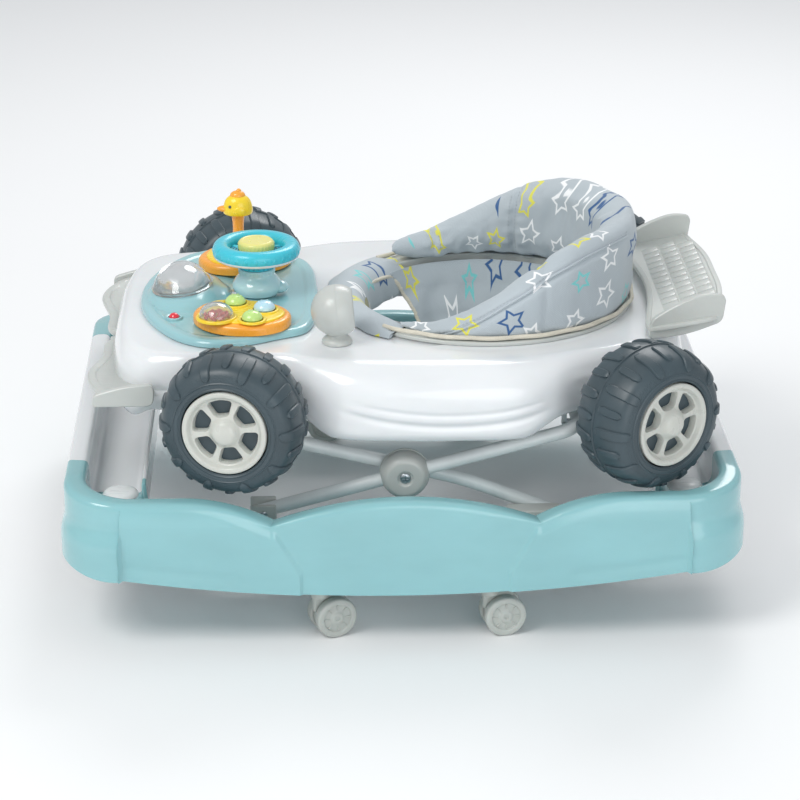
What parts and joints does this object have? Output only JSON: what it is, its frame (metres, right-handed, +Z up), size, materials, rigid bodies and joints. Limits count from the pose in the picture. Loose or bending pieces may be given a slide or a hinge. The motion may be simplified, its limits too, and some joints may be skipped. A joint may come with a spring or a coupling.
{
  "type": "baby walker",
  "caption": "Racing-car shaped baby walker and rocker: padded seat in a toy tray on a scissor frame over an oval rocking base with casters.",
  "frame": {"origin": "on the floor under the middle of the base ring", "axes": "-X to the nose, +X to the rear spoiler, -Y to the walker's left side, +Z up"},
  "size_m": [0.778, 0.65, 0.426],
  "materials": {
    "white": "glossy white moulded shell",
    "aqua": "glossy aqua moulding",
    "pale_aqua": "glossy pale aqua moulding",
    "grey": "satin light grey plastic",
    "tyre": "satin dark blue-grey blow moulding",
    "rim": "satin warm grey plastic",
    "caster": "satin light grey plastic",
    "tube": "powder-coated steel tube",
    "steel": "zinc-plated rivet steel",
    "clear": "clear moulded plastic",
    "mirror": "flat safety mirror",
    "fabric": "pale grey printed polyester, padded",
    "cyan": "glossy cyan plastic",
    "horn": "glossy pale yellow plastic",
    "orange": "glossy orange plastic",
    "yellow": "glossy yellow plastic",
    "green": "translucent light green plastic",
    "blue": "translucent light blue plastic",
    "red": "red indicator lens"
  },
  "bodies": {
    "base": {"front_bumper": "white", "rear_bumper": "white", "side_rail_left": "aqua", "side_rail_right": "aqua", "pivot_bracket_left": "grey", "pivot_bracket_right": "grey", "slide_bracket_left": "grey", "slide_bracket_right": "grey"},
    "outer_frame": {"outer_frame": "tube", "hub_cover_left": "grey", "hub_cover_right": "grey", "cross_pin_left": "steel", "cross_pin_right": "steel"},
    "inner_frame": {"inner_frame": "tube"},
    "tray": {"body_shell": "white", "seat_ring": "grey", "seat_bag": "fabric", "back_cushion": "fabric", "dash_panel": "pale_aqua", "nose_dome": "clear", "console_left": "orange", "console_right": "orange", "bead_dome": "clear", "led_lens": "red", "steering_post": "pale_aqua", "front_wing": "grey", "rear_spoiler": "grey"},
    "stop_front_left": {"stop_front_left": "white"},
    "stop_front_right": {"stop_front_right": "white"},
    "stop_rear_left": {"stop_rear_left": "white"},
    "stop_rear_right": {"stop_rear_right": "white"},
    "caster_left_front": {"caster_left_front_fork": "caster"},
    "caster_left_front_roll": {"caster_left_front_wheels": "caster"},
    "caster_left_rear": {"caster_left_rear_fork": "caster"},
    "caster_left_rear_roll": {"caster_left_rear_wheels": "caster"},
    "caster_right_front": {"caster_right_front_fork": "caster"},
    "caster_right_front_roll": {"caster_right_front_wheels": "caster"},
    "caster_right_rear": {"caster_right_rear_fork": "caster"},
    "caster_right_rear_roll": {"caster_right_rear_wheels": "caster"},
    "caster_front": {"caster_front_fork": "caster"},
    "caster_front_roll": {"caster_front_wheels": "caster"},
    "caster_rear": {"caster_rear_fork": "caster"},
    "caster_rear_roll": {"caster_rear_wheels": "caster"},
    "wheel_front_left": {"tyre_front_left": "tyre", "rim_front_left": "rim"},
    "wheel_front_right": {"tyre_front_right": "tyre", "rim_front_right": "rim"},
    "wheel_rear_left": {"tyre_rear_left": "tyre", "rim_rear_left": "rim"},
    "wheel_rear_right": {"tyre_rear_right": "tyre", "rim_rear_right": "rim"},
    "steering": {"steering_wheel": "cyan"},
    "horn": {"horn_button": "horn"},
    "button_front": {"button_front": "green"},
    "button_middle": {"button_middle": "blue"},
    "button_rear": {"button_rear": "green"},
    "bird": {"bird_figure": "yellow"},
    "mirror": {"mirror_housing": "grey", "mirror_glass": "mirror"}
  },
  "joints": [
    {"name": "height_lift", "type": "hinge", "parent": "base", "child": "outer_frame", "pos_m": [-0.16024, 0, 0.12076], "axis": [0, -1, 0], "range_deg": [0, 14.7]},
    {"name": "scissor_cross", "type": "hinge", "parent": "outer_frame", "child": "inner_frame", "pos_m": [0.003, 0, 0.1645], "axis": [0, -1, 0], "range_deg": [-29.4, 0]},
    {"name": "tray_level", "type": "hinge", "parent": "outer_frame", "child": "tray", "pos_m": [0.20295, 0, 0.21808], "axis": [0, -1, 0], "range_deg": [-14.7, 0]},
    {"name": "stop_front_left_slide", "type": "slide", "parent": "base", "child": "stop_front_left", "axis": [0, 0, 1], "range_m": [-0.022, 0]},
    {"name": "stop_front_right_slide", "type": "slide", "parent": "base", "child": "stop_front_right", "axis": [0, 0, 1], "range_m": [-0.022, 0]},
    {"name": "stop_rear_left_slide", "type": "slide", "parent": "base", "child": "stop_rear_left", "axis": [0, 0, 1], "range_m": [-0.022, 0]},
    {"name": "stop_rear_right_slide", "type": "slide", "parent": "base", "child": "stop_rear_right", "axis": [0, 0, 1], "range_m": [-0.022, 0]},
    {"name": "caster_left_front_swivel", "type": "hinge", "parent": "base", "child": "caster_left_front", "pos_m": [-0.097, -0.29, 0.055], "axis": [0, 0, 1], "continuous": true},
    {"name": "caster_left_front_spin", "type": "hinge", "parent": "caster_left_front", "child": "caster_left_front_roll", "pos_m": [-0.08309, -0.28438, 0.024], "axis": [-0.3746, 0.9272, 0], "continuous": true},
    {"name": "caster_left_rear_swivel", "type": "hinge", "parent": "base", "child": "caster_left_rear", "pos_m": [0.097, -0.29, 0.055], "axis": [0, 0, 1], "continuous": true},
    {"name": "caster_left_rear_spin", "type": "hinge", "parent": "caster_left_rear", "child": "caster_left_rear_roll", "pos_m": [0.11167, -0.28688, 0.024], "axis": [-0.2079, 0.9781, 0], "continuous": true},
    {"name": "caster_right_front_swivel", "type": "hinge", "parent": "base", "child": "caster_right_front", "pos_m": [-0.097, 0.29, 0.055], "axis": [0, 0, 1], "continuous": true},
    {"name": "caster_right_front_spin", "type": "hinge", "parent": "caster_right_front", "child": "caster_right_front_roll", "pos_m": [-0.08223, 0.2874, 0.024], "axis": [0.1736, 0.9848, 0], "continuous": true},
    {"name": "caster_right_rear_swivel", "type": "hinge", "parent": "base", "child": "caster_right_rear", "pos_m": [0.097, 0.29, 0.055], "axis": [0, 0, 1], "continuous": true},
    {"name": "caster_right_rear_spin", "type": "hinge", "parent": "caster_right_rear", "child": "caster_right_rear_roll", "pos_m": [0.11149, 0.29388, 0.024], "axis": [-0.2588, 0.9659, 0], "continuous": true},
    {"name": "caster_front_swivel", "type": "hinge", "parent": "base", "child": "caster_front", "pos_m": [-0.34, 0, 0.055], "axis": [0, 0, 1], "continuous": true},
    {"name": "caster_front_spin", "type": "hinge", "parent": "caster_front", "child": "caster_front_roll", "pos_m": [-0.32515, 0.00209, 0.024], "axis": [-0.1392, 0.9903, 0], "continuous": true},
    {"name": "caster_rear_swivel", "type": "hinge", "parent": "base", "child": "caster_rear", "pos_m": [0.34, 0, 0.055], "axis": [0, 0, 1], "continuous": true},
    {"name": "caster_rear_spin", "type": "hinge", "parent": "caster_rear", "child": "caster_rear_roll", "pos_m": [0.35455, -0.00363, 0.024], "axis": [0.2419, 0.9703, 0], "continuous": true},
    {"name": "wheel_front_left_spin", "type": "hinge", "parent": "tray", "child": "wheel_front_left", "pos_m": [-0.19, -0.254, 0.252], "axis": [-0.2419, -0.9703, 0], "continuous": true},
    {"name": "wheel_front_right_spin", "type": "hinge", "parent": "tray", "child": "wheel_front_right", "pos_m": [-0.19, 0.254, 0.252], "axis": [-0.2419, 0.9703, 0], "continuous": true},
    {"name": "wheel_rear_left_spin", "type": "hinge", "parent": "tray", "child": "wheel_rear_left", "pos_m": [0.275, -0.254, 0.252], "axis": [0.5592, -0.829, 0], "continuous": true},
    {"name": "wheel_rear_right_spin", "type": "hinge", "parent": "tray", "child": "wheel_rear_right", "pos_m": [0.275, 0.254, 0.252], "axis": [0.5592, 0.829, 0], "continuous": true},
    {"name": "steering_turn", "type": "hinge", "parent": "tray", "child": "steering", "pos_m": [-0.166, 0, 0.35], "axis": [0, 0, 1], "range_deg": [-90, 90]},
    {"name": "horn_press", "type": "slide", "parent": "steering", "child": "horn", "axis": [0, 0, 1], "range_m": [-0.003, 0], "stiffness_N_per_m": 200},
    {"name": "button_front_press", "type": "slide", "parent": "tray", "child": "button_front", "axis": [0, 0, 1], "range_m": [-0.003, 0], "stiffness_N_per_m": 200},
    {"name": "button_middle_press", "type": "slide", "parent": "tray", "child": "button_middle", "axis": [0, 0, 1], "range_m": [-0.003, 0], "stiffness_N_per_m": 200},
    {"name": "button_rear_press", "type": "slide", "parent": "tray", "child": "button_rear", "axis": [0, 0, 1], "range_m": [-0.003, 0], "stiffness_N_per_m": 200},
    {"name": "bird_spin", "type": "hinge", "parent": "tray", "child": "bird", "pos_m": [-0.189, 0.11, 0.33], "axis": [0, 0, 1], "continuous": true},
    {"name": "mirror_swivel", "type": "hinge", "parent": "tray", "child": "mirror", "pos_m": [-0.068, -0.15, 0.31], "axis": [0, 0, 1], "range_deg": [-60, 60]}
  ],
  "couplings": [
    {"joint": "scissor_cross", "follows": "height_lift", "ratio": -2},
    {"joint": "tray_level", "follows": "height_lift", "ratio": -1}
  ]
}
